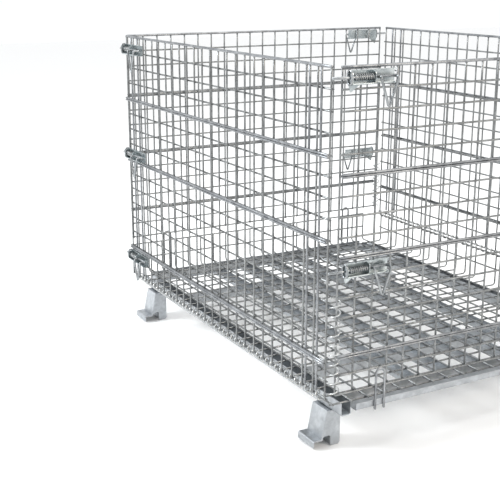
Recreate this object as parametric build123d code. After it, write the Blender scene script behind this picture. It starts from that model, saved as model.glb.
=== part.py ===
"""Foldable wire mesh container with coil-hinged walls, spring-bolt latches and stacking feet.

Millimetres. +Z is up, X runs along the long side, the near long wall faces -Y.
The origin is the bottom centre. Wires are laid in touching layers, each wire its own solid.
"""
import math
import os

from build123d import *

os.makedirs("parts", exist_ok=True)

# Levels
FLOOR_Z = 145.0
RIM_Z = FLOOR_Z + 800.0
STEP_UP = 100.0

# Wires
CELL = 50.0
WIRE_R = 2.5
HEAVY_R = 3.0
RIM_R = 4.0
TWIN_HALF = 3.1
WIRE_TOP_Z = RIM_Z - RIM_R

# Long walls: uprights outside, cross wires inside
LONG_Y = -515.0
LONG_CROSS_Y = LONG_Y + 2 * WIRE_R
LONG_POST_Y = LONG_CROSS_Y - WIRE_R - HEAVY_R
LONG_RAIL_Y = LONG_POST_Y - 2 * HEAVY_R
LONG_END_X = 605.0
LONG_HALF = LONG_END_X + WIRE_R
POST_XS = (-566.0, -516.0, 516.0, 566.0)
POST_LIFT = 14.0
LONG_LOW_GRID = 3.5
LONG_TOP_GRID = 750.0
LONG_COLUMNS = 11

# Floor-edge coil hinge of the long walls
HINGE_Y = -506.5
COIL_WIRE_R = 1.65
COIL_R = 9.65
COIL_PITCH = 25.0
COIL_TURNS = 47
COIL_START_X = -587.5
COIL_START_ANGLE = 115.0

# Floor grid
EDGE_Y = HINGE_Y + 2.5
FLOOR_X_WIRE_Z = FLOOR_Z - 4.9
FLOOR_Y_WIRE_Z = FLOOR_X_WIRE_Z - 2 * WIRE_R
BEAM_TOP_Z = FLOOR_Y_WIRE_Z - WIRE_R
FLOOR_END_X = 627.0
BEND_R = 10.0
BACK_RISER_Y = 509.0
SIDE_RISER_X = -625.0
FLOOR_COLUMNS = 25
FLOOR_ROWS = 9
STEP_CROSS_DROPS = (55.0, 4.9)
STEP_CROSS_XS = (-590.0, 615.0)
STEP_CROSS_END_Y = CELL * FLOOR_ROWS + WIRE_R

# Short walls: uprights inside, cross wires outside
SHORT_X = 625.0
SHORT_CROSS_X = SHORT_X + 2 * WIRE_R
SHORT_RAIL_X = SHORT_CROSS_X + math.sqrt((WIRE_R + HEAVY_R) ** 2 - TWIN_HALF**2)
SHORT_PIVOT = (622.0, -502.0)
SHORT_NEAR_Y = -500.0
SHORT_FAR_Y = 504.0
SHORT_LOW = 22.0
SHORT_TOP_GRID = 751.0
SHORT_CELL = 48.5
SHORT_COLUMNS = 9
CORNER_COIL_R = 12.35
CORNER_COIL_ANGLE = 225.0

# Latches, measured from the corner plane along the wall (u) and out from the wall (w)
BOLT_R = 3.5
BOLT_HOLE_R = 3.58
BOLT_W = 11.5
BOLT_END_U = 148.0
BOLT_REACH_SHORT = 23.0
BOLT_REACH_LONG = 6.0
HOUSING_U = (25.0, 150.0)
HOUSING_HALF = 16.0
HOUSING_DEPTH = 22.5
HOUSING_BROW = 9.0
HOUSING_LIP_W = 4.0 - HOUSING_DEPTH
HOUSING_LIP_R = 2.0
TAB_END_U = 60.0
TAB_TIP = (32.0, -34.0)
SHEET = 1.5
PLATE_T = 2.0
PLATE_END_W = -20.0
ABUTMENT_U = 86.0
COLLAR_U = (35.0, 38.0)
COLLAR_R = 7.5
SPRING_R = 6.4
SPRING_WIRE_R = 1.1
SPRING_TURNS = 8
HANDLE_US = (96.0, 142.0)
HANDLE_W = 28.0
HANDLE_DROP = 72.0
EYE_U = HOUSING_U[0] - WIRE_R
EYE_R = 8.5
EYE_STRAIGHT = 14.0
EYE_W = -BOLT_W + 0.5
LONG_PLANE_X = -615.0
SHORT_PLANE_Y = -515.0
SHORT_BASE_X = SHORT_CROSS_X + WIRE_R
LONG_BASE_Y = LONG_POST_Y - HEAVY_R
FRONT_BOLTS = {"top": FLOOR_Z + 762, "mid": FLOOR_Z + 424, "low": FLOOR_Z + 76}
BACK_BOLTS = {"top": FLOOR_Z + 762, "mid": FLOOR_Z + 424, "low": FLOOR_Z + 176}
SHORT_BOLTS = {"top": FLOOR_Z + 778, "mid": FLOOR_Z + 335}

# Base frame
BEAM_Y = (-472.0, -441.0)
BEAM_H = 36.0
BEAM_T = 3.0
BEAM_BEND = 7.0
BEAM_HALF = 612.0
END_X = (562.0, 633.0)
END_H = 18.0
STRINGER_YS = (-220.0, -110.0, 0.0, 110.0, 220.0)
STRINGER_W = 44.0
STRINGER_H = 14.0
CROSS_X = 360.0
CROSS_W = 40.0
FOOT_X = (500.0, 568.0)
FOOT_Y = (-497.0, -443.0)
FOOT_TOP_Y = -482.0
FOOT_TOP_Z = BEAM_TOP_Z - BEAM_H
FOOT_LEG_Y = -471.0
ARCH_Z = 29.0
ARCH_R = 6.0
ARCH_YS = (FOOT_LEG_Y - 16, FOOT_LEG_Y - ARCH_R)
ARCH_X = (400, 650)
SHOE_X = (497.0, 571.0)
SHOE_Y = (-523.0, -497.0)
SHOE_Z = (5.0, 23.0)
STIRRUP_X = END_X[1] + HEAVY_R
STIRRUP_YS = (-387.0, -361.0)
STIRRUP_LOW = FLOOR_Z - 37.0
STIRRUP_TOPS = (FLOOR_Z + 57.0, FLOOR_Z + 112.0)

ON_BASE = (Align.CENTER, Align.CENTER, Align.MIN)


def save(name, solids):
    export_step(Compound(children=list(solids)), "parts/" + name + ".step")


def wire(start, end, radius):
    """A straight round wire between two points."""
    run = Vector(*end) - Vector(*start)
    frame = Plane(origin=start, z_dir=run.normalized())
    return frame * Cylinder(radius, run.length, align=ON_BASE)


def block(xs, ys, zs):
    """A box between pairs of coordinates."""
    centre = Pos(sum(xs) / 2, sum(ys) / 2, sum(zs) / 2)
    return centre * Box(abs(xs[1] - xs[0]), abs(ys[1] - ys[0]), abs(zs[1] - zs[0]))


def turned(solids):
    """The same pieces for the opposite wall, half a turn about the vertical."""
    return [Rot(0, 0, 180) * solid for solid in solids]


def elbow(centre, x_dir, z_dir):
    """A quarter bend of mesh wire from x_dir towards its left about z_dir."""
    arc = CenterArc((0, 0), BEND_R, 0, 90)
    section = Plane(origin=(BEND_R, 0, 0), z_dir=(0, 1, 0)) * Circle(WIRE_R)
    return Plane(origin=centre, x_dir=x_dir, z_dir=z_dir) * sweep(section, path=arc)


def coil_turn(pitch, radius, wire_r, turns):
    """Turns of helical wire up the Z axis, starting on +X."""
    path = Helix(pitch=pitch, height=pitch * turns, radius=radius)
    section = Plane(origin=path @ 0, z_dir=path % 0) * Circle(wire_r)
    return sweep(section, path=path, is_frenet=True)


# ---------------------------------------------------------------- long walls
def grid_levels(low):
    count = int((LONG_TOP_GRID - low) // CELL)
    return [low + LONG_LOW_GRID] + [low + CELL * k for k in range(1, count + 1)]


def long_mesh(low):
    base = FLOOR_Z + low
    columns = range(-LONG_COLUMNS, LONG_COLUMNS + 1)
    xs = [-LONG_END_X] + [CELL * k for k in columns] + [LONG_END_X]
    wires = [wire((x, LONG_Y, base + 1), (x, LONG_Y, WIRE_TOP_Z), WIRE_R) for x in xs]
    for level in grid_levels(low):
        z = FLOOR_Z + level
        wires.append(wire((-LONG_HALF, LONG_CROSS_Y, z), (LONG_HALF, LONG_CROSS_Y, z), WIRE_R))
    return wires


def long_rails(levels):
    wires = []
    for level in levels:
        for side in (-TWIN_HALF, TWIN_HALF):
            z = FLOOR_Z + level + side
            wires.append(wire((-LONG_HALF, LONG_RAIL_Y, z), (LONG_HALF, LONG_RAIL_Y, z), HEAVY_R))
    return wires


def long_rim():
    return [wire((-LONG_HALF, LONG_Y, RIM_Z), (LONG_HALF, LONG_Y, RIM_Z), RIM_R)]


def long_posts(low):
    foot_z = FLOOR_Z + low + POST_LIFT
    return [wire((x, LONG_POST_Y, foot_z), (x, LONG_POST_Y, WIRE_TOP_Z), HEAVY_R) for x in POST_XS]


# --------------------------------------------------------------- short walls
def short_levels(low):
    count = round((SHORT_TOP_GRID - low - SHORT_LOW) / SHORT_CELL)
    step = (SHORT_TOP_GRID - low - SHORT_LOW) / count
    return [low + SHORT_LOW + step * k for k in range(count + 1)]


def short_mesh(low):
    levels = short_levels(low)
    foot_z = FLOOR_Z + levels[0] - WIRE_R
    columns = range(-SHORT_COLUMNS, SHORT_COLUMNS + 1)
    ys = [SHORT_NEAR_Y] + [CELL * k for k in columns] + [SHORT_FAR_Y]
    wires = [wire((SHORT_X, y, foot_z), (SHORT_X, y, WIRE_TOP_Z), WIRE_R) for y in ys]
    ends = (SHORT_NEAR_Y - WIRE_R, SHORT_FAR_Y + WIRE_R)
    for level in levels:
        z = FLOOR_Z + level
        wires.append(wire((SHORT_CROSS_X, ends[0], z), (SHORT_CROSS_X, ends[1], z), WIRE_R))
    return wires


def short_rails(low, rows):
    levels = short_levels(low)
    wires = []
    for row in rows:
        for side in (-TWIN_HALF, TWIN_HALF):
            z = FLOOR_Z + levels[row] + side
            start = (SHORT_RAIL_X, SHORT_NEAR_Y, z)
            wires.append(wire(start, (SHORT_RAIL_X, SHORT_FAR_Y + WIRE_R, z), HEAVY_R))
    return wires


def short_rim():
    start = (SHORT_X, SHORT_PIVOT[1], RIM_Z)
    return [wire(start, (SHORT_X, SHORT_FAR_Y + WIRE_R, RIM_Z), RIM_R)]


def corner_coil(low, turns):
    levels = short_levels(low)
    pitch = (levels[1] - levels[0]) / 2
    turn = coil_turn(pitch, CORNER_COIL_R, COIL_WIRE_R, 1)
    spin = Rot(0, 0, CORNER_COIL_ANGLE)
    z = FLOOR_Z + levels[0]
    return [Pos(*SHORT_PIVOT, z + pitch * k) * spin * turn for k in range(turns)]


# ------------------------------------------------------------------- latches
def latch_housing(tabbed):
    """Pressed trough with two bored plates, opening away from the wall (-Y)."""
    half = HOUSING_HALF
    body = block(HOUSING_U, (-SHEET, 0), (-half, half))
    body += block(HOUSING_U, (-HOUSING_BROW, 0), (half - SHEET, half))
    body += block(HOUSING_U, (HOUSING_LIP_W, 0), (-half, SHEET - half))
    lip = (HOUSING_LIP_W, HOUSING_LIP_R - half)
    body += wire((HOUSING_U[0], *lip), (HOUSING_U[1], *lip), HOUSING_LIP_R)
    for u in (HOUSING_U[0], ABUTMENT_U):
        plate = block((u, u + PLATE_T), (PLATE_END_W, 0), (-half, half))
        bore = wire((u - 1, -BOLT_W, 0), (u + PLATE_T + 1, -BOLT_W, 0), BOLT_HOLE_R)
        body += plate - bore
    if not tabbed:
        return body.solid()
    corners = ((HOUSING_U[0], -half + 1), (TAB_END_U, -half + 1), TAB_TIP)
    face = make_face(Polyline(*[(u, 0, v) for u, v in corners], close=True))
    body += extrude(face, SHEET, dir=(0, -1, 0))
    return body.solid()


def latch_spring():
    length = ABUTMENT_U - COLLAR_U[1] - 2 * SPRING_WIRE_R
    coil = coil_turn(length / SPRING_TURNS, SPRING_R, SPRING_WIRE_R, SPRING_TURNS)
    axis = Plane(origin=(COLLAR_U[1] + SPRING_WIRE_R, -BOLT_W, 0), z_dir=(1, 0, 0))
    return axis * coil


def latch_eye():
    """Upright oval wire ring round the bolt, against the housing's corner end."""
    half = EYE_STRAIGHT / 2
    pieces = []
    for side in (-EYE_R, EYE_R):
        w = EYE_W + side
        pieces.append(wire((EYE_U, w, -half), (EYE_U, w, half), WIRE_R))
    arc = CenterArc((0, 0), EYE_R, 0, 180)
    section = Plane(origin=(EYE_R, 0, 0), z_dir=(0, 1, 0)) * Circle(WIRE_R)
    bow = sweep(section, path=arc)
    for up in (1, -1):
        centre = (EYE_U, EYE_W, half * up)
        pieces.append(Plane(origin=centre, x_dir=(0, up, 0), z_dir=(1, 0, 0)) * bow)
    return pieces


def latch_bolt(reach):
    """Sliding rod with a spring collar and a hanging V handle of bent wire."""
    rod = wire((-reach, -BOLT_W, 0), (BOLT_END_U, -BOLT_W, 0), BOLT_R)
    rod += wire((COLLAR_U[0], -BOLT_W, 0), (COLLAR_U[1], -BOLT_W, 0), COLLAR_R)
    pieces = [rod.solid()]
    mid = sum(HANDLE_US) / 2
    apex = (mid, -HANDLE_W, -HANDLE_DROP)
    for u, side in zip(HANDLE_US, (-1, 1)):
        stub_end = -HANDLE_W - HEAVY_R
        pieces.append(wire((u, -BOLT_W - BOLT_R, 0), (u, stub_end, 0), HEAVY_R))
        leg = wire((u, -HANDLE_W, 0), apex, HEAVY_R)
        leg -= block((0, 200), (-60, 0), (-HEAVY_R, HEAVY_R))
        leg -= block((mid, mid - 60 * side), (-60, 0), (-100, 20))
        pieces.append(leg.solid())
    return pieces


HOUSING = latch_housing(tabbed=True)
PLAIN_HOUSING = latch_housing(tabbed=False)
SPRING = latch_spring()
EYE = latch_eye()


def at_long(z):
    return Pos(LONG_PLANE_X, LONG_BASE_Y, z)


def at_short(z):
    return Pos(SHORT_BASE_X, SHORT_PLANE_Y, z) * Rot(0, 0, 90)


def save_latches(wall, place, levels, reach, flip, plain=()):
    """Housings, springs and eyes ride on the wall; every bolt is its own part."""
    turn = turned if flip else list
    housings, eyes = [], []
    for name, z in levels.items():
        housings.append(place(z) * (PLAIN_HOUSING if name in plain else HOUSING))
        eyes += [place(z) * piece for piece in EYE]
    save(wall + "_latch_housings", turn(housings))
    save(wall + "_latch_eyes", turn(eyes))
    bolt = latch_bolt(reach)
    for name, z in levels.items():
        spot = place(z)
        save(wall + "_bolt_" + name, turn([spot * piece for piece in bolt]))
        save(wall + "_spring_" + name, turn([spot * SPRING]))


# --------------------------------------------------------------- floor, base
def floor_y_xs():
    return [COIL_START_X + CELL * k for k in range(FLOOR_COLUMNS)]


def floor_x_ys():
    return [EDGE_Y] + [CELL * k for k in range(-FLOOR_ROWS, FLOOR_ROWS + 1)]


def floor_mesh():
    wires = []
    for y in floor_x_ys():
        start = (SIDE_RISER_X + BEND_R, y, FLOOR_X_WIRE_Z)
        wires.append(wire(start, (FLOOR_END_X, y, FLOOR_X_WIRE_Z), WIRE_R))
    for x in floor_y_xs():
        end = (x, BACK_RISER_Y - BEND_R, FLOOR_Y_WIRE_Z)
        wires.append(wire((x, HINGE_Y - 0.5, FLOOR_Y_WIRE_Z), end, WIRE_R))
    return wires


def floor_upstand():
    """The floor wires turned up along the back and left, with their cross wires."""
    wires = []
    top = FLOOR_Z + STEP_UP
    for y in floor_x_ys():
        z = FLOOR_X_WIRE_Z + BEND_R
        wires.append(elbow((SIDE_RISER_X + BEND_R, y, z), (-1, 0, 0), (0, -1, 0)))
        wires.append(wire((SIDE_RISER_X, y, z), (SIDE_RISER_X, y, top - 3), WIRE_R))
    for x in floor_y_xs():
        z = FLOOR_Y_WIRE_Z + BEND_R
        wires.append(elbow((x, BACK_RISER_Y - BEND_R, z), (0, 0, -1), (1, 0, 0)))
        wires.append(wire((x, BACK_RISER_Y, z), (x, BACK_RISER_Y, top - 3), WIRE_R))
    cross_x = SIDE_RISER_X - 2 * WIRE_R
    cross_y = BACK_RISER_Y - 2 * WIRE_R
    for drop in STEP_CROSS_DROPS:
        z = top - drop
        side = (cross_x, EDGE_Y - WIRE_R, z)
        back = (STEP_CROSS_XS[0], cross_y, z)
        wires.append(wire(side, (cross_x, STEP_CROSS_END_Y, z), WIRE_R))
        wires.append(wire(back, (STEP_CROSS_XS[1], cross_y, z), WIRE_R))
    return wires


def hinge_coil(lift):
    turn = coil_turn(COIL_PITCH, COIL_R, COIL_WIRE_R, 1)
    angle = math.radians(COIL_START_ANGLE)
    x_dir = (0, math.cos(angle), math.sin(angle))
    axis_z = FLOOR_Z + lift
    turns = []
    for k in range(COIL_TURNS):
        origin = (COIL_START_X + COIL_PITCH * k, HINGE_Y, axis_z)
        turns.append(Plane(origin=origin, x_dir=x_dir, z_dir=(1, 0, 0)) * turn)
    return turns


def base_beam():
    """Channel under the long edge, open at the top."""
    zs = (BEAM_TOP_Z - BEAM_H, BEAM_TOP_Z)
    xs = (-BEAM_HALF, BEAM_HALF)
    beam = block(xs, BEAM_Y, zs)
    beam = fillet(beam.edges().filter_by(Axis.X).sort_by(Axis.Z)[:2], BEAM_BEND)
    hollow = block(xs, (BEAM_Y[0] + BEAM_T, BEAM_Y[1] - BEAM_T), (zs[0] + BEAM_T, zs[1] + 1))
    hollow = fillet(hollow.edges().filter_by(Axis.X).sort_by(Axis.Z)[:2], BEAM_BEND - BEAM_T)
    return [beam - hollow]


def end_channel():
    """Shallow channel under the short edge, open at the top."""
    ys = (BEAM_Y[1], -BEAM_Y[1])
    zs = (BEAM_TOP_Z - END_H, BEAM_TOP_Z)
    hollow = block((END_X[0] + BEAM_T, END_X[1] - BEAM_T), ys, (zs[0] + BEAM_T, zs[1] + 1))
    return [block(END_X, ys, zs) - hollow]


def stringers():
    """Shallow lengthwise channels under the floor wires, open at the top."""
    zs = (BEAM_TOP_Z - STRINGER_H, BEAM_TOP_Z)
    xs = (-END_X[0], END_X[0])
    members = []
    for y in STRINGER_YS:
        ys = (y - STRINGER_W / 2, y + STRINGER_W / 2)
        hollow = block(xs, (ys[0] + BEAM_T, ys[1] - BEAM_T), (zs[0] + BEAM_T, zs[1] + 1))
        members.append(block(xs, ys, zs) - hollow)
    return members


def cross_channels():
    """Inverted channels between the two beams, carrying the stringers."""
    ys = (BEAM_Y[1], -BEAM_Y[1])
    zs = (BEAM_TOP_Z - BEAM_H, BEAM_TOP_Z - STRINGER_H)
    members = []
    for x in (-CROSS_X, CROSS_X):
        xs = (x - CROSS_W / 2, x + CROSS_W / 2)
        hollow = block((xs[0] + BEAM_T, xs[1] - BEAM_T), ys, (zs[0] - 1, zs[1] - BEAM_T))
        members.append(block(xs, ys, zs) - hollow)
    return members


def side_prism(outline, xs):
    """A solid whose side view (Y, Z) is the outline, between two X positions."""
    face = make_face(Polyline(*[(xs[0], y, z) for y, z in outline], close=True))
    return extrude(face, xs[1] - xs[0], dir=(1, 0, 0))


def foot():
    """Hollow pressed foot with a leaning front, cut away to clear the rim below."""
    outline = [
        (FOOT_Y[0], SHOE_Z[1] - BEAM_T),
        (FOOT_Y[0], SHOE_Z[1]),
        (FOOT_TOP_Y, FOOT_TOP_Z),
        (FOOT_Y[1], FOOT_TOP_Z),
        (FOOT_Y[1], 0),
        (FOOT_LEG_Y, 0),
        (FOOT_LEG_Y, SHOE_Z[1] - BEAM_T),
    ]
    hollow = [
        (FOOT_Y[0] + BEAM_T, SHOE_Z[1] - BEAM_T - 1),
        (FOOT_Y[0] + BEAM_T, SHOE_Z[1]),
        (FOOT_TOP_Y + BEAM_T, FOOT_TOP_Z - BEAM_T),
        (FOOT_Y[1] - BEAM_T, FOOT_TOP_Z - BEAM_T),
        (FOOT_Y[1] - BEAM_T, BEAM_T),
        (FOOT_LEG_Y + BEAM_T, BEAM_T),
        (FOOT_LEG_Y + BEAM_T, SHOE_Z[1] - BEAM_T - 1),
    ]
    shell = side_prism(outline, FOOT_X)
    shell -= side_prism(hollow, (FOOT_X[0] + BEAM_T, FOOT_X[1] - BEAM_T))
    z = ARCH_Z - ARCH_R
    arch = block(ARCH_X, (ARCH_YS[0] - ARCH_R, FOOT_LEG_Y + 0.01), (0, z))
    arch += block(ARCH_X, ARCH_YS, (0, ARCH_Z))
    for y in ARCH_YS:
        arch += wire((ARCH_X[0], y, z), (ARCH_X[1], y, z), ARCH_R)
    return shell - arch


def shoe():
    """Flange and drop lip that hook over the rim of the container below."""
    web = block(SHOE_X, (SHOE_Y[0], FOOT_Y[0]), (SHOE_Z[1] - BEAM_T, SHOE_Z[1]))
    return web + block(SHOE_X, (SHOE_Y[0], SHOE_Y[0] + BEAM_T), SHOE_Z)


def stirrups(top):
    """Upright wire loops that stand outside the short wall's foot."""
    pieces = []
    x = STIRRUP_X
    half = (STIRRUP_YS[1] - STIRRUP_YS[0]) / 2
    arc = CenterArc((0, 0), half, 0, 180)
    section = Plane(origin=(half, 0, 0), z_dir=(0, 1, 0)) * Circle(HEAVY_R)
    bow = sweep(section, path=arc)
    for sign in (-1, 1):
        legs = [sign * y for y in STIRRUP_YS]
        for y in legs:
            pieces.append(wire((x, y, STIRRUP_LOW), (x, y, top), HEAVY_R))
        pieces.append(Plane(origin=(x, sum(legs) / 2, top), x_dir=(0, 1, 0), z_dir=(1, 0, 0)) * bow)
    return pieces


# ------------------------------------------------------------------- export
save("floor_mesh", floor_mesh())
save("floor_upstand", floor_upstand())
save("base_beams", base_beam() + turned(base_beam()))
save("end_channels", end_channel() + turned(end_channel()))
save("cross_members", stringers() + cross_channels())
save("front_hinge_coil", hinge_coil(0))
save("back_hinge_coil", turned(hinge_coil(STEP_UP)))
save("stirrups", stirrups(STIRRUP_TOPS[0]) + turned(stirrups(STIRRUP_TOPS[1])))

FOOT, SHOE = foot(), shoe()
front_right, front_left = [FOOT, SHOE], [mirror(FOOT, Plane.YZ), mirror(SHOE, Plane.YZ)]
for corner, (a_foot, a_shoe) in {
    "front_right": front_right,
    "front_left": front_left,
    "back_left": turned(front_right),
    "back_right": turned(front_left),
}.items():
    save("foot_" + corner, [a_foot])
    save("shoe_" + corner, [a_shoe])

for wall, lift, levels, bolts in (
    ("front", 0.0, (600, 400, 100), FRONT_BOLTS),
    ("back", STEP_UP, (600, 400, 200), BACK_BOLTS),
):
    turn = turned if wall == "back" else list
    save(wall + "_wall_mesh", turn(long_mesh(lift)))
    save(wall + "_wall_rails", turn(long_rails(levels)))
    save(wall + "_wall_rim", turn(long_rim()))
    save(wall + "_wall_posts", turn(long_posts(lift)))
    save_latches(wall, at_long, bolts, BOLT_REACH_LONG, wall == "back", plain=("mid",))

for wall, lift, rows, turns in (
    ("right", 0.0, (2, 7, 11), 10),
    ("left", STEP_UP, (2, 6, 10), 7),
):
    turn = turned if wall == "left" else list
    save(wall + "_wall_mesh", turn(short_mesh(lift)))
    save(wall + "_wall_rails", turn(short_rails(lift, rows)))
    save(wall + "_wall_rim", turn(short_rim()))
    save(wall + "_corner_coil", turn(corner_coil(lift, turns)))
    save_latches(wall, at_short, SHORT_BOLTS, BOLT_REACH_SHORT, wall == "left")
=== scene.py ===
"""Looks for the foldable wire mesh container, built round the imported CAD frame. Metres."""
import math
import random

import bmesh
import bpy
from mathutils import Matrix, Vector


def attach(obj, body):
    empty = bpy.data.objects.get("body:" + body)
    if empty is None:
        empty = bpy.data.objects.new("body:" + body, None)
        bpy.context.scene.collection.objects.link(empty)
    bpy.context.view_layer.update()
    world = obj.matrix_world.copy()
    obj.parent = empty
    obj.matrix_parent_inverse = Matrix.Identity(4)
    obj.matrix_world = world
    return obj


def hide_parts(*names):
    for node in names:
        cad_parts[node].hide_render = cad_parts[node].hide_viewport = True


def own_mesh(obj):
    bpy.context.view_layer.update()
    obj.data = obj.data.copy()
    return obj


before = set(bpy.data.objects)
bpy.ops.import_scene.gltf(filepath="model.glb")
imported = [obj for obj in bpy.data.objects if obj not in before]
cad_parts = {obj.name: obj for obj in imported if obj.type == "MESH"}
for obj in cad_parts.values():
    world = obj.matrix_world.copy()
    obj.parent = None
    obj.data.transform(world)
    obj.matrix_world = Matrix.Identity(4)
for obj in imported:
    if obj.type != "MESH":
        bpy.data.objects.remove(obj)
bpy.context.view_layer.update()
random.seed(11)

MM = 0.001
WIRE_R = 2.5 * MM
HEAVY_R = 3.0 * MM
RIM_R = 4.0 * MM
COIL_WIRE_R = 1.65 * MM
CELL = 0.05
TWIN_HALF = 3.1 * MM
WIRE_SIDES = 12
END_FACE = 0.7
END_ROUND = 0.3
WELD_R = 2.5 * MM
RAIL_WELD_R = 2.4 * MM
RIM_WELD_R = 3.4 * MM
POST_WELD_R = 3.6 * MM
RIM_WELD_Z = 4.6 * MM
WOBBLE = 0.22 * MM
SHARP_DEG = 50
BEVEL_DEG = 35
RIM_DRAWN_R = RIM_R - 0.35 * MM

FLOOR_Z = 0.145
RIM_Z = FLOOR_Z + 0.8
STEP_UP = 0.1
TURN = {"front": 0.0, "right": math.pi / 2, "back": math.pi, "left": -math.pi / 2}


# ------------------------------------------------------------------ materials
METALLIC = 0.92
GRIME = 0.35


def links(tree, *pairs):
    for a, b in pairs:
        tree.links.new(a, b)


def node(tree, kind, **values):
    n = tree.nodes.new(kind)
    for key, value in values.items():
        if key in n.inputs:
            n.inputs[key].default_value = value
        else:
            setattr(n, key, value)
    return n


def ramp(tree, stops):
    n = tree.nodes.new("ShaderNodeValToRGB")
    while len(n.color_ramp.elements) < len(stops):
        n.color_ramp.elements.new(0.5)
    for element, (at, colour) in zip(n.color_ramp.elements, stops):
        element.position = at
        element.color = (*colour, 1.0)
    return n


def zinc(name, dark, light, rough, spangle, bump=0.25, crystal=0.5):
    """Hot-dip zinc: crystal spangle, cloudy tone, duller patches and fine runs."""
    mat = bpy.data.materials.new(name)
    mat.use_nodes = True
    tree = mat.node_tree
    shader = tree.nodes["Principled BSDF"]
    shader.inputs["Metallic"].default_value = METALLIC
    where = node(tree, "ShaderNodeTexCoord").outputs["Object"]
    clouds = node(tree, "ShaderNodeTexNoise", Scale=34.0, Detail=6.0, Roughness=0.6)
    cells = node(tree, "ShaderNodeTexVoronoi", Scale=spangle, Randomness=1.0)
    patches = node(tree, "ShaderNodeTexNoise", Scale=7.0, Detail=3.0, Roughness=0.5)
    grain = node(tree, "ShaderNodeTexNoise", Scale=900.0, Detail=3.0, Roughness=0.7)
    links(tree, *[(where, n.inputs["Vector"]) for n in (clouds, cells, patches, grain)])
    base = ramp(tree, [(0.3, dark), (0.72, light)])
    links(tree, (clouds.outputs["Fac"], base.inputs["Fac"]))
    facet = node(tree, "ShaderNodeSeparateColor")
    links(tree, (cells.outputs["Color"], facet.inputs["Color"]))
    tone = ramp(tree, [(0.0, (0.78,) * 3), (1.0, (1.12,) * 3)])
    links(tree, (facet.outputs["Red"], tone.inputs["Fac"]))
    mixed = node(tree, "ShaderNodeMix", data_type="RGBA", blend_type="MULTIPLY")
    mixed.inputs["Factor"].default_value = crystal
    links(tree, (base.outputs["Color"], mixed.inputs["A"]))
    links(tree, (tone.outputs["Color"], mixed.inputs["B"]))
    dirt = ramp(tree, [(0.38, (1.0, 1.0, 1.0)), (0.75, (0.72, 0.71, 0.68))])
    links(tree, (patches.outputs["Fac"], dirt.inputs["Fac"]))
    soiled = node(tree, "ShaderNodeMix", data_type="RGBA", blend_type="MULTIPLY")
    soiled.inputs["Factor"].default_value = GRIME
    links(tree, (mixed.outputs["Result"], soiled.inputs["A"]))
    links(tree, (dirt.outputs["Color"], soiled.inputs["B"]))
    links(tree, (soiled.outputs["Result"], shader.inputs["Base Color"]))
    shine = ramp(tree, [(0.0, (rough - 0.1,) * 3), (1.0, (rough + 0.14,) * 3)])
    links(tree, (facet.outputs["Green"], shine.inputs["Fac"]))
    links(tree, (shine.outputs["Color"], shader.inputs["Roughness"]))
    height = node(tree, "ShaderNodeMix", data_type="FLOAT")
    height.inputs["Factor"].default_value = 0.4
    links(tree, (clouds.outputs["Fac"], height.inputs["A"]))
    links(tree, (grain.outputs["Fac"], height.inputs["B"]))
    relief = node(tree, "ShaderNodeBump", Strength=bump, Distance=0.0006)
    links(tree, (height.outputs["Result"], relief.inputs["Height"]))
    links(tree, (relief.outputs["Normal"], shader.inputs["Normal"]))
    return mat


SURFACES = {
    "mesh_wire": ((0.15, 0.155, 0.158), (0.34, 0.35, 0.352), 0.32, 180.0),
    # Coil wire: brighter zinc, and also painted light: set much lighter than the mesh wire so the coils
    # read bright in the shade where they sit.
    "coil_wire": ((0.42, 0.435, 0.44), (0.70, 0.71, 0.71), 0.26, 200.0),
    "heavy_wire": ((0.17, 0.178, 0.19), (0.38, 0.392, 0.405), 0.32, 140.0),
    "galvanised_sheet": ((0.34, 0.358, 0.378), (0.53, 0.552, 0.575), 0.38, 110.0, 0.2, 0.35),
    # Latch sheet: brighter zinc plating, and also painted light: its tone is lifted to brighten the
    # housings' interior, which lies in the top flange's shade.
    "latch_sheet": ((0.34, 0.385, 0.40), (0.56, 0.60, 0.61), 0.30, 60.0, 0.12, 0.25),
    "bolt_steel": ((0.22, 0.235, 0.245), (0.45, 0.465, 0.475), 0.24, 70.0, 0.15),
    "spring_steel": ((0.26, 0.27, 0.275), (0.48, 0.49, 0.49), 0.28, 300.0, 0.2),
}
MATERIALS = {name: zinc(name, *values) for name, values in SURFACES.items()}


# -------------------------------------------------------------------- meshing
def sweep(bm, points, radius, sides=WIRE_SIDES, closed=False):
    """A round wire along points, its cut ends slightly rounded."""
    points = [Vector(p) for p in points]
    count = len(points)
    tangents = []
    for i in range(count):
        after = (i + 1) % count if closed else min(i + 1, count - 1)
        before = i - 1 if closed else max(i - 1, 0)
        tangents.append((points[after] - points[before]).normalized())
    helper = Vector((0, 0, 1)) if abs(tangents[0].z) < 0.9 else Vector((1, 0, 0))
    normal = tangents[0].cross(helper).normalized()
    rings = []
    for i, (p, t) in enumerate(zip(points, tangents)):
        normal = (normal - t * normal.dot(t)).normalized()
        across = t.cross(normal)
        places = [(p, radius)]
        if not closed and i == 0:
            places = [(p, radius * END_FACE), (p + t * radius * END_ROUND, radius)]
        elif not closed and i == count - 1:
            places = [(p - t * radius * END_ROUND, radius), (p, radius * END_FACE)]
        for at, r in places:
            ring = []
            for k in range(sides):
                a = math.tau * k / sides
                ring.append(bm.verts.new(at + (normal * math.cos(a) + across * math.sin(a)) * r))
            rings.append(ring)
    if closed:
        rings.append(rings[0])
    for a, b in zip(rings, rings[1:]):
        for k in range(sides):
            bm.faces.new((a[k], a[(k + 1) % sides], b[(k + 1) % sides], b[k]))
    if not closed:
        bm.faces.new(list(reversed(rings[0])))
        bm.faces.new(rings[-1])


def straight(start, end, step=0.045):
    """Points along a drawn wire that is never perfectly straight."""
    start, end = Vector(start), Vector(end)
    run = end - start
    count = max(2, int(run.length / step))
    side = run.orthogonal().normalized()
    other = run.normalized().cross(side)
    points = []
    for i in range(count + 1):
        edge = min(i, count - i)
        amount = WOBBLE * min(edge, 1)
        shift = side * random.uniform(-amount, amount) + other * random.uniform(-amount, amount)
        points.append(start + run * i / count + shift)
    return points


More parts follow.
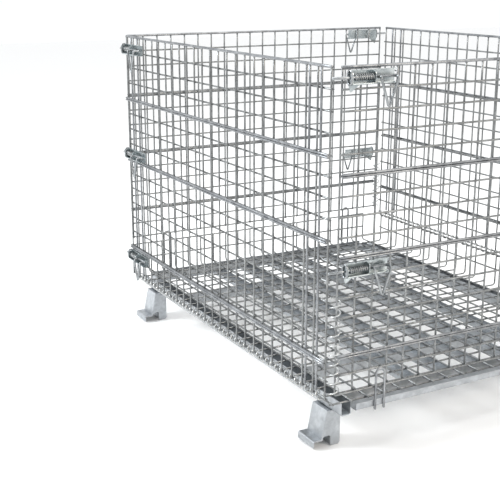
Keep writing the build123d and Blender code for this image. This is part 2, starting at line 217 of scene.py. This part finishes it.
def nugget(bm, centre, radius, flat):
    """A small squeezed weld bead."""
    scale = [radius] * 3
    scale[flat] = radius * 0.72
    matrix = Matrix.Translation(centre) @ Matrix.Diagonal((*scale, 1.0))
    bmesh.ops.create_icosphere(bm, subdivisions=1, radius=1.0, matrix=matrix)


def piece(name, bm, body, slot, replaced=(), turn=0.0, bevel=0.0):
    """Makes the named object, with its surface, its body and the CAD nodes it stands for."""
    if turn:
        bmesh.ops.rotate(bm, verts=bm.verts, cent=(0, 0, 0), matrix=Matrix.Rotation(turn, 3, "Z"))
    bmesh.ops.recalc_face_normals(bm, faces=bm.faces)
    mesh = bpy.data.meshes.new(name)
    bm.to_mesh(mesh)
    bm.free()
    obj = bpy.data.objects.new(name, mesh)
    bpy.context.scene.collection.objects.link(obj)
    mesh.materials.append(MATERIALS[slot])
    mesh.shade_smooth()
    if bevel:
        soften = obj.modifiers.new("edges", "BEVEL")
        soften.width = bevel
        soften.segments = 3
        soften.angle_limit = math.radians(BEVEL_DEG)
        soften.harden_normals = True
    mesh.set_sharp_from_angle(angle=math.radians(SHARP_DEG))
    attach(obj, body)
    if replaced:
        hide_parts(*replaced)
    return obj


def bent_sheet(bm, outline, thickness, start, end, to_world):
    """A bent sheet: an open outline given thickness to its left, run from start to end."""
    outline = [Vector(p) for p in outline]
    shifted = []
    for i, p in enumerate(outline):
        before = (p - outline[i - 1]).normalized() if i else (outline[1] - p).normalized()
        after = (outline[i + 1] - p).normalized() if i + 1 < len(outline) else before
        left = [Vector((-d.y, d.x)) for d in (before, after)]
        mitre = (left[0] + left[1]).normalized()
        shifted.append(p + mitre * thickness / max(0.3, mitre.dot(left[0])))
    loop = outline + list(reversed(shifted))
    ends = [[bm.verts.new(to_world(s, p.x, p.y)) for p in loop] for s in (start, end)]
    count, half = len(loop), len(outline)
    for k in range(count):
        bm.faces.new((ends[0][k], ends[0][(k + 1) % count], ends[1][(k + 1) % count], ends[1][k]))
    for ring in ends:
        for k in range(half - 1):
            bm.faces.new((ring[k], ring[k + 1], ring[count - 2 - k], ring[count - 1 - k]))


def rounded(corners, radius, steps=5):
    """An open outline with its inner corners rounded."""
    corners = [Vector(c) for c in corners]
    points = [corners[0]]
    for before, at, after in zip(corners, corners[1:], corners[2:]):
        a, b = (before - at).normalized(), (after - at).normalized()
        half = a.angle(b) / 2
        reach = radius / math.tan(half)
        centre = at + (a + b).normalized() * radius / math.sin(half)
        first, last = at + a * reach, at + b * reach
        v0, v1 = first - centre, last - centre
        sweep_angle = v0.angle_signed(v1)
        for k in range(steps + 1):
            t = -sweep_angle * k / steps
            c, s = math.cos(t), math.sin(t)
            points.append(centre + Vector((v0.x * c - v0.y * s, v0.x * s + v0.y * c)))
    points.append(corners[-1])
    return points


def arc_points(centre, first, second, start, end, steps):
    """Points on an arc: centre + first*cos + second*sin."""
    centre, first, second = Vector(centre), Vector(first), Vector(second)
    points = []
    for k in range(steps + 1):
        a = start + (end - start) * k / steps
        points.append(centre + first * math.cos(a) + second * math.sin(a))
    return points


def coil(bm, centre, axis, first, radius, pitch, turns, angle, wire_r=COIL_WIRE_R, per_turn=20):
    """A helix of wire round an axis, starting at an angle from the first direction."""
    centre, axis, first = Vector(centre), Vector(axis), Vector(first)
    second = axis.cross(first)
    points = []
    for k in range(int(per_turn * turns) + 1):
        a = angle + math.tau * k / per_turn
        along = centre + axis * (pitch * k / per_turn)
        points.append(along + first * radius * math.cos(a) + second * radius * math.sin(a))
    sweep(bm, points, wire_r, 10)


# ----------------------------------------------------------------- long walls
LONG_Y = -0.515
LONG_CROSS_Y = -0.510
LONG_LOW_GRID = 3.5 * MM
LONG_TOP_GRID = 0.75
POST_LIFT = 14 * MM
LONG_POST_Y = -0.5155
LONG_RAIL_Y = -0.5215
LONG_HALF = 0.6075
POST_XS = (-0.566, -0.516, 0.516, 0.566)
LONG_XS = [-0.605] + [CELL * k for k in range(-11, 12)] + [0.605]
WIRE_TOP = RIM_Z - RIM_R


def long_wall(side, low, rail_levels):
    """Uprights outside, cross wires inside, twin rails, posts and the rim."""
    body = side + "_wall"
    turn = TURN[side]
    base = FLOOR_Z + low
    count = int(round((LONG_TOP_GRID - low) / CELL))
    levels = [base + LONG_LOW_GRID] + [base + CELL * k for k in range(1, count + 1)]
    mesh, heavy, rim, posts, welds = (bmesh.new() for _ in range(5))
    for x in LONG_XS:
        sweep(mesh, straight((x, LONG_Y, base + MM), (x, LONG_Y, WIRE_TOP)), WIRE_R)
        nugget(welds, (x, LONG_Y, RIM_Z - RIM_WELD_Z), RIM_WELD_R, 2)
    for z in levels:
        sweep(mesh, straight((-LONG_HALF, LONG_CROSS_Y, z), (LONG_HALF, LONG_CROSS_Y, z)), WIRE_R)
        for x in LONG_XS + list(POST_XS):
            nugget(welds, (x, (LONG_Y + LONG_CROSS_Y) / 2, z), WELD_R, 1)
    for level in rail_levels:
        for up in (-TWIN_HALF, TWIN_HALF):
            z = FLOOR_Z + level + up
            sweep(heavy, straight((-LONG_HALF, LONG_RAIL_Y, z), (LONG_HALF, LONG_RAIL_Y, z)), HEAVY_R)
            for x in LONG_XS:
                nugget(welds, (x, (LONG_RAIL_Y + LONG_Y) / 2, z), RAIL_WELD_R, 1)
    sweep(rim, straight((-LONG_HALF, LONG_Y, RIM_Z), (LONG_HALF, LONG_Y, RIM_Z)), RIM_DRAWN_R, 16)
    for x in POST_XS:
        sweep(posts, straight((x, LONG_POST_Y, base + POST_LIFT), (x, LONG_POST_Y, WIRE_TOP)), HEAVY_R)
        nugget(welds, (x, LONG_POST_Y, RIM_Z - RIM_WELD_Z), POST_WELD_R, 2)
    piece(side + "_mesh_wires", mesh, body, "mesh_wire", [side + "_wall_mesh"], turn)
    piece(side + "_twin_rails", heavy, body, "heavy_wire", [side + "_wall_rails"], turn)
    piece(side + "_rim_wire", rim, body, "heavy_wire", [side + "_wall_rim"], turn)
    piece(side + "_end_posts", posts, body, "heavy_wire", [side + "_wall_posts"], turn)
    piece(side + "_welds", welds, body, "mesh_wire", (), turn)


# ---------------------------------------------------------------- short walls
SHORT_X, SHORT_CROSS_X, SHORT_RAIL_X = 0.625, 0.630, 0.63454
SHORT_YS = [-0.5] + [CELL * k for k in range(-9, 10)] + [0.504]
PIVOT = (0.622, -0.502)
SHORT_LOW, SHORT_TOP_GRID, SHORT_CELL = 0.022, 0.751, 0.0485
SHORT_ENDS = (-0.5025, 0.5065)
CORNER_COIL_R = 12.35 * MM
CORNER_COIL_ANGLE = math.radians(225)


def short_wall(side, low, rows, coil_turns):
    """Uprights inside, cross wires outside, twin rails, the rim and the corner coil."""
    body = side + "_wall"
    turn = 0.0 if side == "right" else math.pi
    first, last = low + SHORT_LOW, SHORT_TOP_GRID
    count = round((last - first) / SHORT_CELL)
    step = (last - first) / count
    levels = [FLOOR_Z + first + step * k for k in range(count + 1)]
    near, far = SHORT_ENDS
    mesh, heavy, rim, corner, welds = (bmesh.new() for _ in range(5))
    for y in SHORT_YS:
        sweep(mesh, straight((SHORT_X, y, levels[0] - WIRE_R), (SHORT_X, y, WIRE_TOP)), WIRE_R)
        nugget(welds, (SHORT_X, y, RIM_Z - RIM_WELD_Z), RIM_WELD_R, 2)
    for z in levels:
        sweep(mesh, straight((SHORT_CROSS_X, near, z), (SHORT_CROSS_X, far, z)), WIRE_R)
        for y in SHORT_YS:
            nugget(welds, ((SHORT_X + SHORT_CROSS_X) / 2, y, z), WELD_R, 0)
    for row in rows:
        for up in (-TWIN_HALF, TWIN_HALF):
            z = levels[row] + up
            sweep(heavy, straight((SHORT_RAIL_X, -0.5, z), (SHORT_RAIL_X, far, z)), HEAVY_R)
            for y in SHORT_YS[1:]:
                nugget(welds, (SHORT_RAIL_X - 3.5 * MM, y, z), RAIL_WELD_R, 0)
    sweep(rim, straight((SHORT_X, PIVOT[1], RIM_Z), (SHORT_X, far, RIM_Z)), RIM_DRAWN_R, 16)
    start = (*PIVOT, levels[0])
    winding = (CORNER_COIL_R, step / 2, coil_turns, CORNER_COIL_ANGLE)
    coil(corner, start, (0, 0, 1), (1, 0, 0), *winding)
    piece(side + "_mesh_wires", mesh, body, "mesh_wire", [side + "_wall_mesh"], turn)
    piece(side + "_twin_rails", heavy, body, "heavy_wire", [side + "_wall_rails"], turn)
    piece(side + "_rim_wire", rim, body, "heavy_wire", [side + "_wall_rim"], turn)
    piece(side + "_upright_coil", corner, body, "coil_wire", [side + "_corner_coil"], turn)
    piece(side + "_welds", welds, body, "mesh_wire", (), turn)


# -------------------------------------------------------------------- latches
HOUSING_U = (0.025, 0.150)
HOUSING_HALF = 0.016
BOLT_W = 0.0115
BOLT_END_U = 0.148
BOLT_R = 3.5 * MM
EYE_U = 0.0225
EYE_W = -BOLT_W + 0.5 * MM
EYE_R = 8.5 * MM
EYE_HALF = 7 * MM
ABUTMENT_U = 0.086
PLATE_T = 2 * MM
SPRING_US = (0.0392, 0.0848)
SPRING_R = 6.4 * MM
SPRING_WIRE_R = 1.1 * MM
SPRING_TURNS = 8
COLLAR_SIDES = 28
HANDLE_US = (0.096, 0.142)
HANDLE_W = 0.028
HANDLE_DROP = 0.0715


def plate_with_bore(bm, u, thick):
    """A rounded guide plate across the trough, bored for the bolt."""
    deep, half, cut, sides = 0.0195, 0.0155, 0.00365, 32
    outline, hole = [], []
    for k in range(sides):
        a = math.tau * k / sides
        c, s = math.cos(a), math.sin(a)
        limit = min(deep - BOLT_W if c > 0 else BOLT_W - 0.0004, 1) / max(abs(c), 1e-6)
        reach = min(limit, half / max(abs(s), 1e-6))
        corner = 0.0125 if c > 0 else 1.0
        reach = min(reach, corner)
        outline.append((BOLT_W + c * reach, s * reach))
        hole.append((BOLT_W + c * cut, s * cut))
    rings = []
    for at in (u, u + thick):
        rings.append([bm.verts.new((at, -w, v)) for w, v in outline])
        rings.append([bm.verts.new((at, -w, v)) for w, v in hole])
    for k in range(sides):
        n = (k + 1) % sides
        bm.faces.new((rings[0][k], rings[0][n], rings[1][n], rings[1][k]))
        bm.faces.new((rings[2][k], rings[2][n], rings[3][n], rings[3][k]))
        bm.faces.new((rings[0][k], rings[0][n], rings[2][n], rings[2][k]))
        bm.faces.new((rings[1][k], rings[1][n], rings[3][n], rings[3][k]))


def trough(bm, tabbed):
    """Pressed housing: top flange, back, floor, a rolled lower lip and a tab below it."""
    half = HOUSING_HALF
    corners = [(0.009, half), (0.0, half), (0.0, -half), (0.0185, -half)]
    outline = rounded(corners, 2.6 * MM)
    roll = arc_points((0.0185, -half + 2 * MM, 0), (0, -2 * MM, 0), (2 * MM, 0, 0), 0.15, 4.0, 9)
    outline += [Vector((p.x, p.y)) for p in roll]
    bent_sheet(bm, outline, 1.4 * MM, *HOUSING_U, lambda s, w, v: (s, -w, v))
    plate_with_bore(bm, HOUSING_U[0], PLATE_T)
    plate_with_bore(bm, ABUTMENT_U, PLATE_T)
    if not tabbed:
        return
    tab = [(0.0252, -0.0145), (0.060, -0.0145), (0.034, -0.0335), (0.031, -0.0335)]
    faces = [[bm.verts.new((u, w, v)) for u, v in tab] for w in (0.0, -1.5 * MM)]
    for k in range(4):
        n = (k + 1) % 4
        bm.faces.new((faces[0][k], faces[0][n], faces[1][n], faces[1][k]))
    for face in faces:
        bm.faces.new(face)


def bolt_rod(bm, reach):
    """Drawn rod with a chamfered nose, a pressed collar and its swaged edge."""
    sweep(bm, [(u, -BOLT_W, 0) for u in (-reach, 0.030, 0.090, BOLT_END_U)], BOLT_R, 20)
    for at, r, thick in ((0.0352, 7.4 * MM, 2.6 * MM), (0.0335, 5.0 * MM, 1.8 * MM)):
        points = [(at, -BOLT_W, 0), (at + thick / 2, -BOLT_W, 0), (at + thick, -BOLT_W, 0)]
        rings = []
        for (x, y, z), factor in zip(points, (0.94, 1.0, 0.94)):
            ring = []
            for k in range(COLLAR_SIDES):
                a = math.tau * k / COLLAR_SIDES
                spot = (x, y + r * factor * math.cos(a), z + r * factor * math.sin(a))
                ring.append(bm.verts.new(spot))
            rings.append(ring)
        for a, b in zip(rings, rings[1:]):
            for k in range(COLLAR_SIDES):
                n = (k + 1) % COLLAR_SIDES
                bm.faces.new((a[k], a[n], b[n], b[k]))
        bm.faces.new(rings[0])
        bm.faces.new(list(reversed(rings[-1])))


def v_handle(bm):
    """One bent wire: out from the rod, down to a rounded point and back."""
    inner, outer, drop = -BOLT_W - 2.5 * MM, -HANDLE_W, -HANDLE_DROP
    left, right = HANDLE_US
    mid = (left + right) / 2
    bend = 4.5 * MM
    points = [(left, inner, 0), (left, inner - 2 * MM, 0)]
    points += arc_points((left, outer + bend, -bend), (0, 0, bend), (0, -bend, 0), 0, math.pi / 2, 6)
    lean = Vector((mid - left, 0, drop)).normalized()
    tip_drop = 7.0 * MM
    below = Vector((mid, outer, drop))
    down = below - lean * 0.020
    tip = below - Vector((0, 0, tip_drop))
    points += [Vector((left, outer, -bend)) + lean * 0.006, down]
    for k in range(1, 8):
        t = k / 8
        a, b = down, Vector((2 * mid - down.x, down.y, down.z))
        points.append(a * (1 - t) ** 2 + tip * 2 * t * (1 - t) + b * t**2)
    mirrored = [Vector((2 * mid - Vector(p).x, Vector(p).y, Vector(p).z)) for p in points[: -7]]
    sweep(bm, points + list(reversed(mirrored)), HEAVY_R, 14)
    for u in (left, right):
        nugget(bm, (u, -BOLT_W - 3.2 * MM, 0), 4.2 * MM, 1)


LATCH_AT = {
    "front": (-0.615, -0.5185),
    "right": (0.6325, -0.515),
    "back": (0.615, 0.5185),
    "left": (-0.6325, 0.515),
}


def latches(side, levels, reach):
    """Every latch of one wall: housings and rings on the wall, each bolt on its own body."""
    body = side + "_wall"
    rotate = Matrix.Rotation(TURN[side], 4, "Z")

    def put(bm, z):
        place = Matrix.Translation((*LATCH_AT[side], z)) @ rotate
        bmesh.ops.transform(bm, matrix=place, verts=bm.verts)
        return place

    housings, eyes = bmesh.new(), bmesh.new()
    for name, level in levels.items():
        part = bmesh.new()
        trough(part, not (name == "mid" and side in ("front", "back")))
        put(part, FLOOR_Z + level)
        join(housings, part)
        ring = []
        for k in range(32):
            a = math.tau * k / 32
            shift = EYE_HALF if math.sin(a) >= 0 else -EYE_HALF
            ring.append((EYE_U, EYE_W + EYE_R * math.cos(a), shift + EYE_R * math.sin(a)))
        part = bmesh.new()
        sweep(part, ring, WIRE_R, closed=True)
        put(part, FLOOR_Z + level)
        join(eyes, part)
    pressed = [side + "_latch_housings"]
    piece(side + "_latch_troughs", housings, body, "latch_sheet", pressed, bevel=0.3 * MM)
    piece(side + "_latch_rings", eyes, body, "bolt_steel", [side + "_latch_eyes"])
    for name, level in levels.items():
        z = FLOOR_Z + level
        rod = bmesh.new()
        bolt_rod(rod, reach)
        v_handle(rod)
        put(rod, z)
        bolt_body = side + "_bolt_" + name
        piece(f"{side}_{name}_bolt_and_handle", rod, bolt_body, "bolt_steel", [bolt_body])
        spring = bmesh.new()
        free, end = SPRING_US
        winding = (SPRING_R, (end - free) / SPRING_TURNS, SPRING_TURNS, 0.0, SPRING_WIRE_R, 18)
        coil(spring, (free, -BOLT_W, 0), (1, 0, 0), (0, 1, 0), *winding)
        place = put(spring, z)
        stands_for = [f"{side}_spring_{name}"]
        obj = piece(f"{side}_{name}_push_spring", spring, body, "spring_steel", stands_for)
        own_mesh(obj)


def join(target, part):
    """Adds one bmesh's geometry to another and frees it."""
    mesh = bpy.data.meshes.new("scratch")
    part.to_mesh(mesh)
    part.free()
    target.from_mesh(mesh)
    bpy.data.meshes.remove(mesh)


# ---------------------------------------------------------------- floor, base
EDGE_Y = -0.504
X_WIRE_Z = FLOOR_Z - 4.9 * MM
Y_WIRE_Z = X_WIRE_Z - 5 * MM
BEAM_TOP = Y_WIRE_Z - 2.5 * MM
BEND_R = 0.010
RISER_X, RISER_Y = -0.625, 0.509
RISER_TOP = FLOOR_Z + STEP_UP - 3 * MM
RISER_MID = FLOOR_Z + 0.05
QUARTER = (0, math.pi / 2, 6)
HINGE_WINDING = (9.65 * MM, 0.025, 47, math.radians(115))
FLOOR_XS = [-0.5875 + CELL * k for k in range(25)]
BEAM_Y = (-0.472, -0.441)
BEAM_HALF = 0.612
BEAM_H = 0.036
SPAN = (BEAM_Y[1], -BEAM_Y[1])
SHEET = 3 * MM
FOLD_R = 3.5 * MM
ARCH_Z = 0.023
ARCH_R = 6 * MM
FOOT_X = (0.500, 0.568)
FLOOR_YS = [EDGE_Y] + [CELL * k for k in range(-9, 10)]


def floor():
    """Floor wires turned up at the back and left, and the two spiral hinges."""
    wires, welds = bmesh.new(), bmesh.new()
    top = FLOOR_Z + STEP_UP
    for y in FLOOR_YS:
        centre = (RISER_X + BEND_R, y, X_WIRE_Z + BEND_R)
        bend = arc_points(centre, (0, 0, -BEND_R), (-BEND_R, 0, 0), *QUARTER)
        run = straight((0.627, y, X_WIRE_Z), (-0.611, y, X_WIRE_Z))
        sweep(wires, run + bend + [(RISER_X, y, RISER_MID), (RISER_X, y, RISER_TOP)], WIRE_R)
        for x in FLOOR_XS:
            nugget(welds, (x, y, (X_WIRE_Z + Y_WIRE_Z) / 2), WELD_R, 2)
    for x in FLOOR_XS:
        centre = (x, RISER_Y - BEND_R, Y_WIRE_Z + BEND_R)
        bend = arc_points(centre, (0, 0, -BEND_R), (0, BEND_R, 0), *QUARTER)
        run = straight((x, -0.507, Y_WIRE_Z), (x, 0.495, Y_WIRE_Z))
        sweep(wires, run + bend + [(x, RISER_Y, RISER_MID), (x, RISER_Y, RISER_TOP)], WIRE_R)
    for z in (top - 0.055, top - 4.9 * MM):
        sweep(wires, straight((-0.630, -0.5065, z), (-0.630, 0.4525, z)), WIRE_R)
        sweep(wires, straight((-0.590, 0.504, z), (0.615, 0.504, z)), WIRE_R)
        for y in FLOOR_YS:
            nugget(welds, (-0.6275, y, z), WELD_R, 0)
        for x in FLOOR_XS:
            nugget(welds, (x, 0.5065, z), WELD_R, 1)
    piece("floor_wires", wires, "base", "mesh_wire", ["floor_mesh", "floor_upstand"])
    piece("floor_welds", welds, "base", "mesh_wire")
    for side, lift in (("front", 0.0), ("back", STEP_UP)):
        bm = bmesh.new()
        start = (-0.5875, -0.5065, FLOOR_Z + lift)
        coil(bm, start, (1, 0, 0), (0, 1, 0), *HINGE_WINDING)
        piece(side + "_spiral_hinge", bm, "base", "coil_wire", [side + "_hinge_coil"], TURN[side])


def base():
    """Channels, stringers, feet, shoes and stirrups."""
    low = BEAM_TOP - BEAM_H
    beams, welds = bmesh.new(), bmesh.new()
    for sign in (1, -1):
        near, far = BEAM_Y
        path = rounded([(near, BEAM_TOP), (near, low), (far, low), (far, BEAM_TOP)], 7 * MM, 7)
        ends = (-BEAM_HALF, BEAM_HALF)
        bent_sheet(beams, path, SHEET, *ends, lambda s, a, b, k=sign: (s * k, a * k, b))
    piece("base_channels", beams, "base", "galvanised_sheet", ["base_beams"], bevel=0.5 * MM)
    ends = bmesh.new()
    inner, outer, depth = 0.562, 0.633, 0.018
    for sign in (1, -1):
        under = BEAM_TOP - depth
        corners = [(outer, BEAM_TOP), (outer, under), (inner, under), (inner, BEAM_TOP)]
        path = rounded(corners, FOLD_R)
        bent_sheet(ends, path, -SHEET, *SPAN, lambda s, a, b, k=sign: (a * k, s * k, b))
    piece("edge_channels", ends, "base", "galvanised_sheet", ["end_channels"], bevel=0.5 * MM)
    cross = bmesh.new()
    shelf = BEAM_TOP - 0.014
    for y in (-0.22, -0.11, 0.0, 0.11, 0.22):
        a, b = y - 0.022, y + 0.022
        path = rounded([(a, BEAM_TOP), (a, shelf), (b, shelf), (b, BEAM_TOP)], FOLD_R)
        bent_sheet(cross, path, SHEET, -inner, inner, lambda s, a, b: (s, a, b))
    for x in (-0.36, 0.36):
        a, b = x - 0.02, x + 0.02
        path = rounded([(a, low), (a, shelf), (b, shelf), (b, low)], FOLD_R)
        bent_sheet(cross, path, -SHEET, *SPAN, lambda s, a, b: (a, s, b))
    piece("cross_channels", cross, "base", "galvanised_sheet", ["cross_members"], bevel=0.5 * MM)
    for name, mx, my in (
        ("front_right", 1, 1),
        ("front_left", -1, 1),
        ("back_left", -1, -1),
        ("back_right", 1, -1),
    ):
        foot(name, mx, my, low)
    loops = bmesh.new()
    for turn, top in ((1, 0.057), (-1, 0.112)):
        for sign in (-1, 1):
            mid, half, x = sign * 0.374, 0.013, 0.636
            z = FLOOR_Z + top
            points = straight((x, mid - half, FLOOR_Z - 0.037), (x, mid - half, z), 0.03)[:-1]
            points += arc_points((x, mid, z), (0, -half, 0), (0, 0, half), 0, math.pi, 12)
            points += straight((x, mid + half, z), (x, mid + half, FLOOR_Z - 0.037), 0.03)[1:]
            spots = [Vector(p) for p in points]
            sweep(loops, [(turn * p.x, turn * p.y, p.z) for p in spots], HEAVY_R)
            for leg in (-half, half):
                for drop in (0.020, 0.033):
                    spot = (turn * 0.6335, turn * (mid + leg), FLOOR_Z - drop)
                    nugget(welds, spot, 3.2 * MM, 0)
    piece("wire_stirrups", loops, "base", "heavy_wire", ["stirrups"])
    piece("frame_welds", welds, "base", "galvanised_sheet")


def slab(bm, outline, lower, upper, to_world):
    """A flat plate with the given outline between two depths."""
    rings = [[bm.verts.new(to_world(s, a, b)) for a, b in outline] for s in (lower, upper)]
    count = len(outline)
    for k in range(count):
        bm.faces.new((rings[0][k], rings[0][(k + 1) % count], rings[1][(k + 1) % count], rings[1][k]))
    for ring in rings:
        bm.faces.new(ring)


def foot(name, mx, my, top):
    """Pressed foot with a leaning front and arched sides, and its drop-lipped shoe."""
    front, upper_front, leg, rear, ledge = -0.497, -0.482, -0.471, -0.443, 0.020
    fold, toe = 5.5 * MM, 6 * MM
    corners = [(front, ledge), (front, ledge + 3 * MM), (upper_front, top), (rear, top)]
    side = [Vector(c) for c in corners]
    side += [Vector((rear, toe)), Vector((rear - toe, 0.0)), Vector((leg, 0.0))]
    side += [Vector((leg, ARCH_Z))]
    arch = ARCH_R
    crown = arc_points((leg - arch, ARCH_Z, 0), (arch, 0, 0), (0, arch, 0), 0.2, math.pi / 2, 6)
    crown += arc_points((leg - 16 * MM, ARCH_Z, 0), (0, arch, 0), (-arch, 0, 0), *QUARTER)
    side += [Vector((p.x, p.y)) for p in crown] + [Vector((leg - 22 * MM, ledge))]
    body = bmesh.new()
    inside = (FOOT_X[0] + SHEET, FOOT_X[1] - SHEET)
    for x in (FOOT_X[0], inside[1]):
        slab(body, side, x, x + SHEET, lambda s, a, b: (mx * s, my * a, b))
    front_plate = [(front, ledge), (front, ledge + 3 * MM), (upper_front, top)]
    front_plate += [(y + 3 * MM, z) for y, z in reversed(front_plate)]
    slab(body, front_plate, *inside, lambda s, a, b: (mx * s, my * a, b))
    back = [(upper_front + SHEET, top), (rear, top), (rear, 0.0), (leg, 0.0), (leg, 0.0225)]
    bent_sheet(body, rounded(back, fold), -SHEET, *inside, lambda s, a, b: (mx * s, my * a, b))
    for k in range(12):
        nugget(body, (mx * (0.506 + 0.0051 * k), my * (upper_front + 0.002), top - 2 * MM), 2.6 * MM, 2)
    stands_for = ["foot_" + name]
    piece("foot_shell_" + name, body, "base", "galvanised_sheet", stands_for, bevel=0.9 * MM)
    shoe = bmesh.new()
    path = rounded([(-0.523, 0.005), (-0.523, 0.023), (front, 0.023)], 4.5 * MM)
    bent_sheet(shoe, path, -SHEET, 0.497, 0.571, lambda s, a, b: (mx * s, my * a, b))
    stands_for = ["shoe_" + name]
    piece("stack_shoe_" + name, shoe, "base", "galvanised_sheet", stands_for, bevel=0.5 * MM)


long_wall("front", 0.0, (0.6, 0.4, 0.1))
long_wall("back", STEP_UP, (0.6, 0.4, 0.2))
short_wall("right", 0.0, (2, 7, 11), 10)
short_wall("left", STEP_UP, (2, 6, 10), 7)
latches("front", {"top": 0.762, "mid": 0.424, "low": 0.076}, 0.006)
latches("back", {"top": 0.762, "mid": 0.424, "low": 0.176}, 0.006)
latches("right", {"top": 0.778, "mid": 0.335}, 0.023)
latches("left", {"top": 0.778, "mid": 0.335}, 0.023)
floor()
base()


# ------------------------------------------------------------ stage and camera
def stage_floor():
    bm = bmesh.new()
    bmesh.ops.create_grid(bm, x_segments=1, y_segments=1, size=14.0)
    mesh = bpy.data.meshes.new("studio_floor")
    bm.to_mesh(mesh)
    bm.free()
    obj = bpy.data.objects.new("studio_floor", mesh)
    bpy.context.scene.collection.objects.link(obj)
    mat = bpy.data.materials.new("studio_floor")
    mat.use_nodes = True
    shader = mat.node_tree.nodes["Principled BSDF"]
    shader.inputs["Base Color"].default_value = (0.96, 0.96, 0.955, 1.0)
    shader.inputs["Roughness"].default_value = 0.9
    mesh.materials.append(mat)


def light(name, place, target, size, power, colour=(1.0, 1.0, 1.0)):
    data = bpy.data.lights.new(name, "AREA")
    data.shape = "SQUARE"
    data.size = size
    data.energy = power
    data.color = colour
    obj = bpy.data.objects.new(name, data)
    bpy.context.scene.collection.objects.link(obj)
    obj.location = place
    aim = Vector(target) - Vector(place)
    obj.rotation_euler = aim.to_track_quat("-Z", "Y").to_euler()


stage_floor()
world = bpy.data.worlds.new("studio")
world.use_nodes = True
world.node_tree.nodes["Background"].inputs["Color"].default_value = (0.96, 0.97, 0.98, 1.0)
world.node_tree.nodes["Background"].inputs["Strength"].default_value = 1.05
bpy.context.scene.world = world
light("key", (-1.6, -3.6, 3.0), (0, 0, 0.5), 1.6, 150.0, (0.93, 0.97, 1.0))
light("side", (4.2, 1.6, 2.6), (0, 0, 0.5), 1.4, 60.0, (1.0, 0.88, 0.74))
light("top", (0.2, 0.4, 4.2), (0, 0, 0.3), 3.0, 60.0)

AZIMUTH, ELEVATION = math.radians(61.4), math.radians(15.6)
DISTANCE, SHIFT = 2.3, 0.19
back = Vector(
    (
        math.sin(AZIMUTH) * math.cos(ELEVATION),
        -math.cos(AZIMUTH) * math.cos(ELEVATION),
        math.sin(ELEVATION),
    )
)
right_hand = Vector((math.cos(AZIMUTH), math.sin(AZIMUTH), 0))
NEAR_EDGE = Vector((0.625, -0.515, 0.53))
camera_data = bpy.data.cameras.new("camera")
camera_data.lens = 72.0
camera_data.sensor_width = 36.0
camera = bpy.data.objects.new("camera", camera_data)
bpy.context.scene.collection.objects.link(camera)
camera.location = NEAR_EDGE + back * DISTANCE - right_hand * SHIFT
camera.rotation_euler = (-back).to_track_quat("-Z", "Y").to_euler()
bpy.context.scene.camera = camera
bpy.context.scene.view_settings.view_transform = "Standard"
